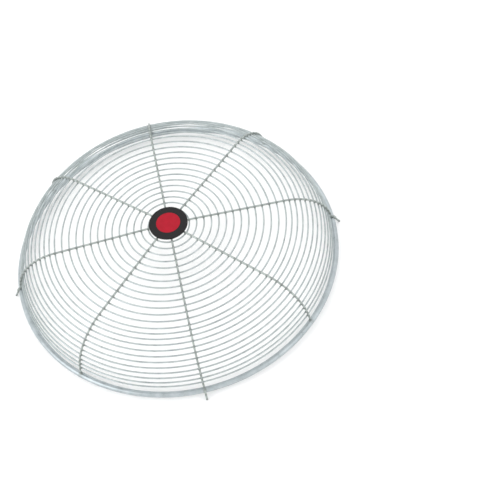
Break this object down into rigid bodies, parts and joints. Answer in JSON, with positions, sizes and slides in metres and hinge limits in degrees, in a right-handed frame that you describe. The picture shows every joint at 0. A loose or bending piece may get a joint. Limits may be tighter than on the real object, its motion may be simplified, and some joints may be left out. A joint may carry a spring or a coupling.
{
  "type": "wire fan guard",
  "caption": "Round domed wire guard for a fan: concentric rings welded under radial ribs, a thick round rim bar, wire tails and a plain round centre badge.",
  "frame": {"origin": "on the guard's axis, in the plane that its four wire tails rest on", "axes": "+Z along the axis, out of the front face; +X and +Y each along a rib with a tail"},
  "size_m": [0.7018, 0.7018, 0.1314],
  "materials": {
    "ring_wire": "bright zinc plate over drawn steel wire",
    "rib_wire": "bright zinc plate over drawn steel wire",
    "rim_bar": "bright zinc plate over round steel bar",
    "plate_steel": "zinc plated sheet",
    "badge_black": "moulded, semi-gloss",
    "badge_red": "plain red, semi-gloss",
    "nut_steel": "spring steel, plain"
  },
  "bodies": {
    "root": {"ring_01": "ring_wire", "ring_02": "ring_wire", "ring_03": "ring_wire", "ring_04": "ring_wire", "ring_05": "ring_wire", "ring_06": "ring_wire", "ring_07": "ring_wire", "ring_08": "ring_wire", "ring_09": "ring_wire", "ring_10": "ring_wire", "ring_11": "ring_wire", "ring_12": "ring_wire", "ring_13": "ring_wire", "ring_14": "ring_wire", "ring_15": "ring_wire", "ring_16": "ring_wire", "ring_17": "ring_wire", "ring_18": "ring_wire", "ring_19": "ring_wire", "ring_20": "ring_wire", "ring_21": "ring_wire", "ring_22": "ring_wire", "ring_23": "ring_wire", "ring_24": "ring_wire", "ring_25": "ring_wire", "long_rib_1": "rib_wire", "long_rib_2": "rib_wire", "long_rib_3": "rib_wire", "long_rib_4": "rib_wire", "short_rib_1": "rib_wire", "short_rib_2": "rib_wire", "short_rib_3": "rib_wire", "short_rib_4": "rib_wire", "rim_bar": "rim_bar", "hub_plate": "plate_steel", "badge": "badge_black", "badge_field": "badge_red", "push_nut": "nut_steel"}
  },
  "joints": []
}
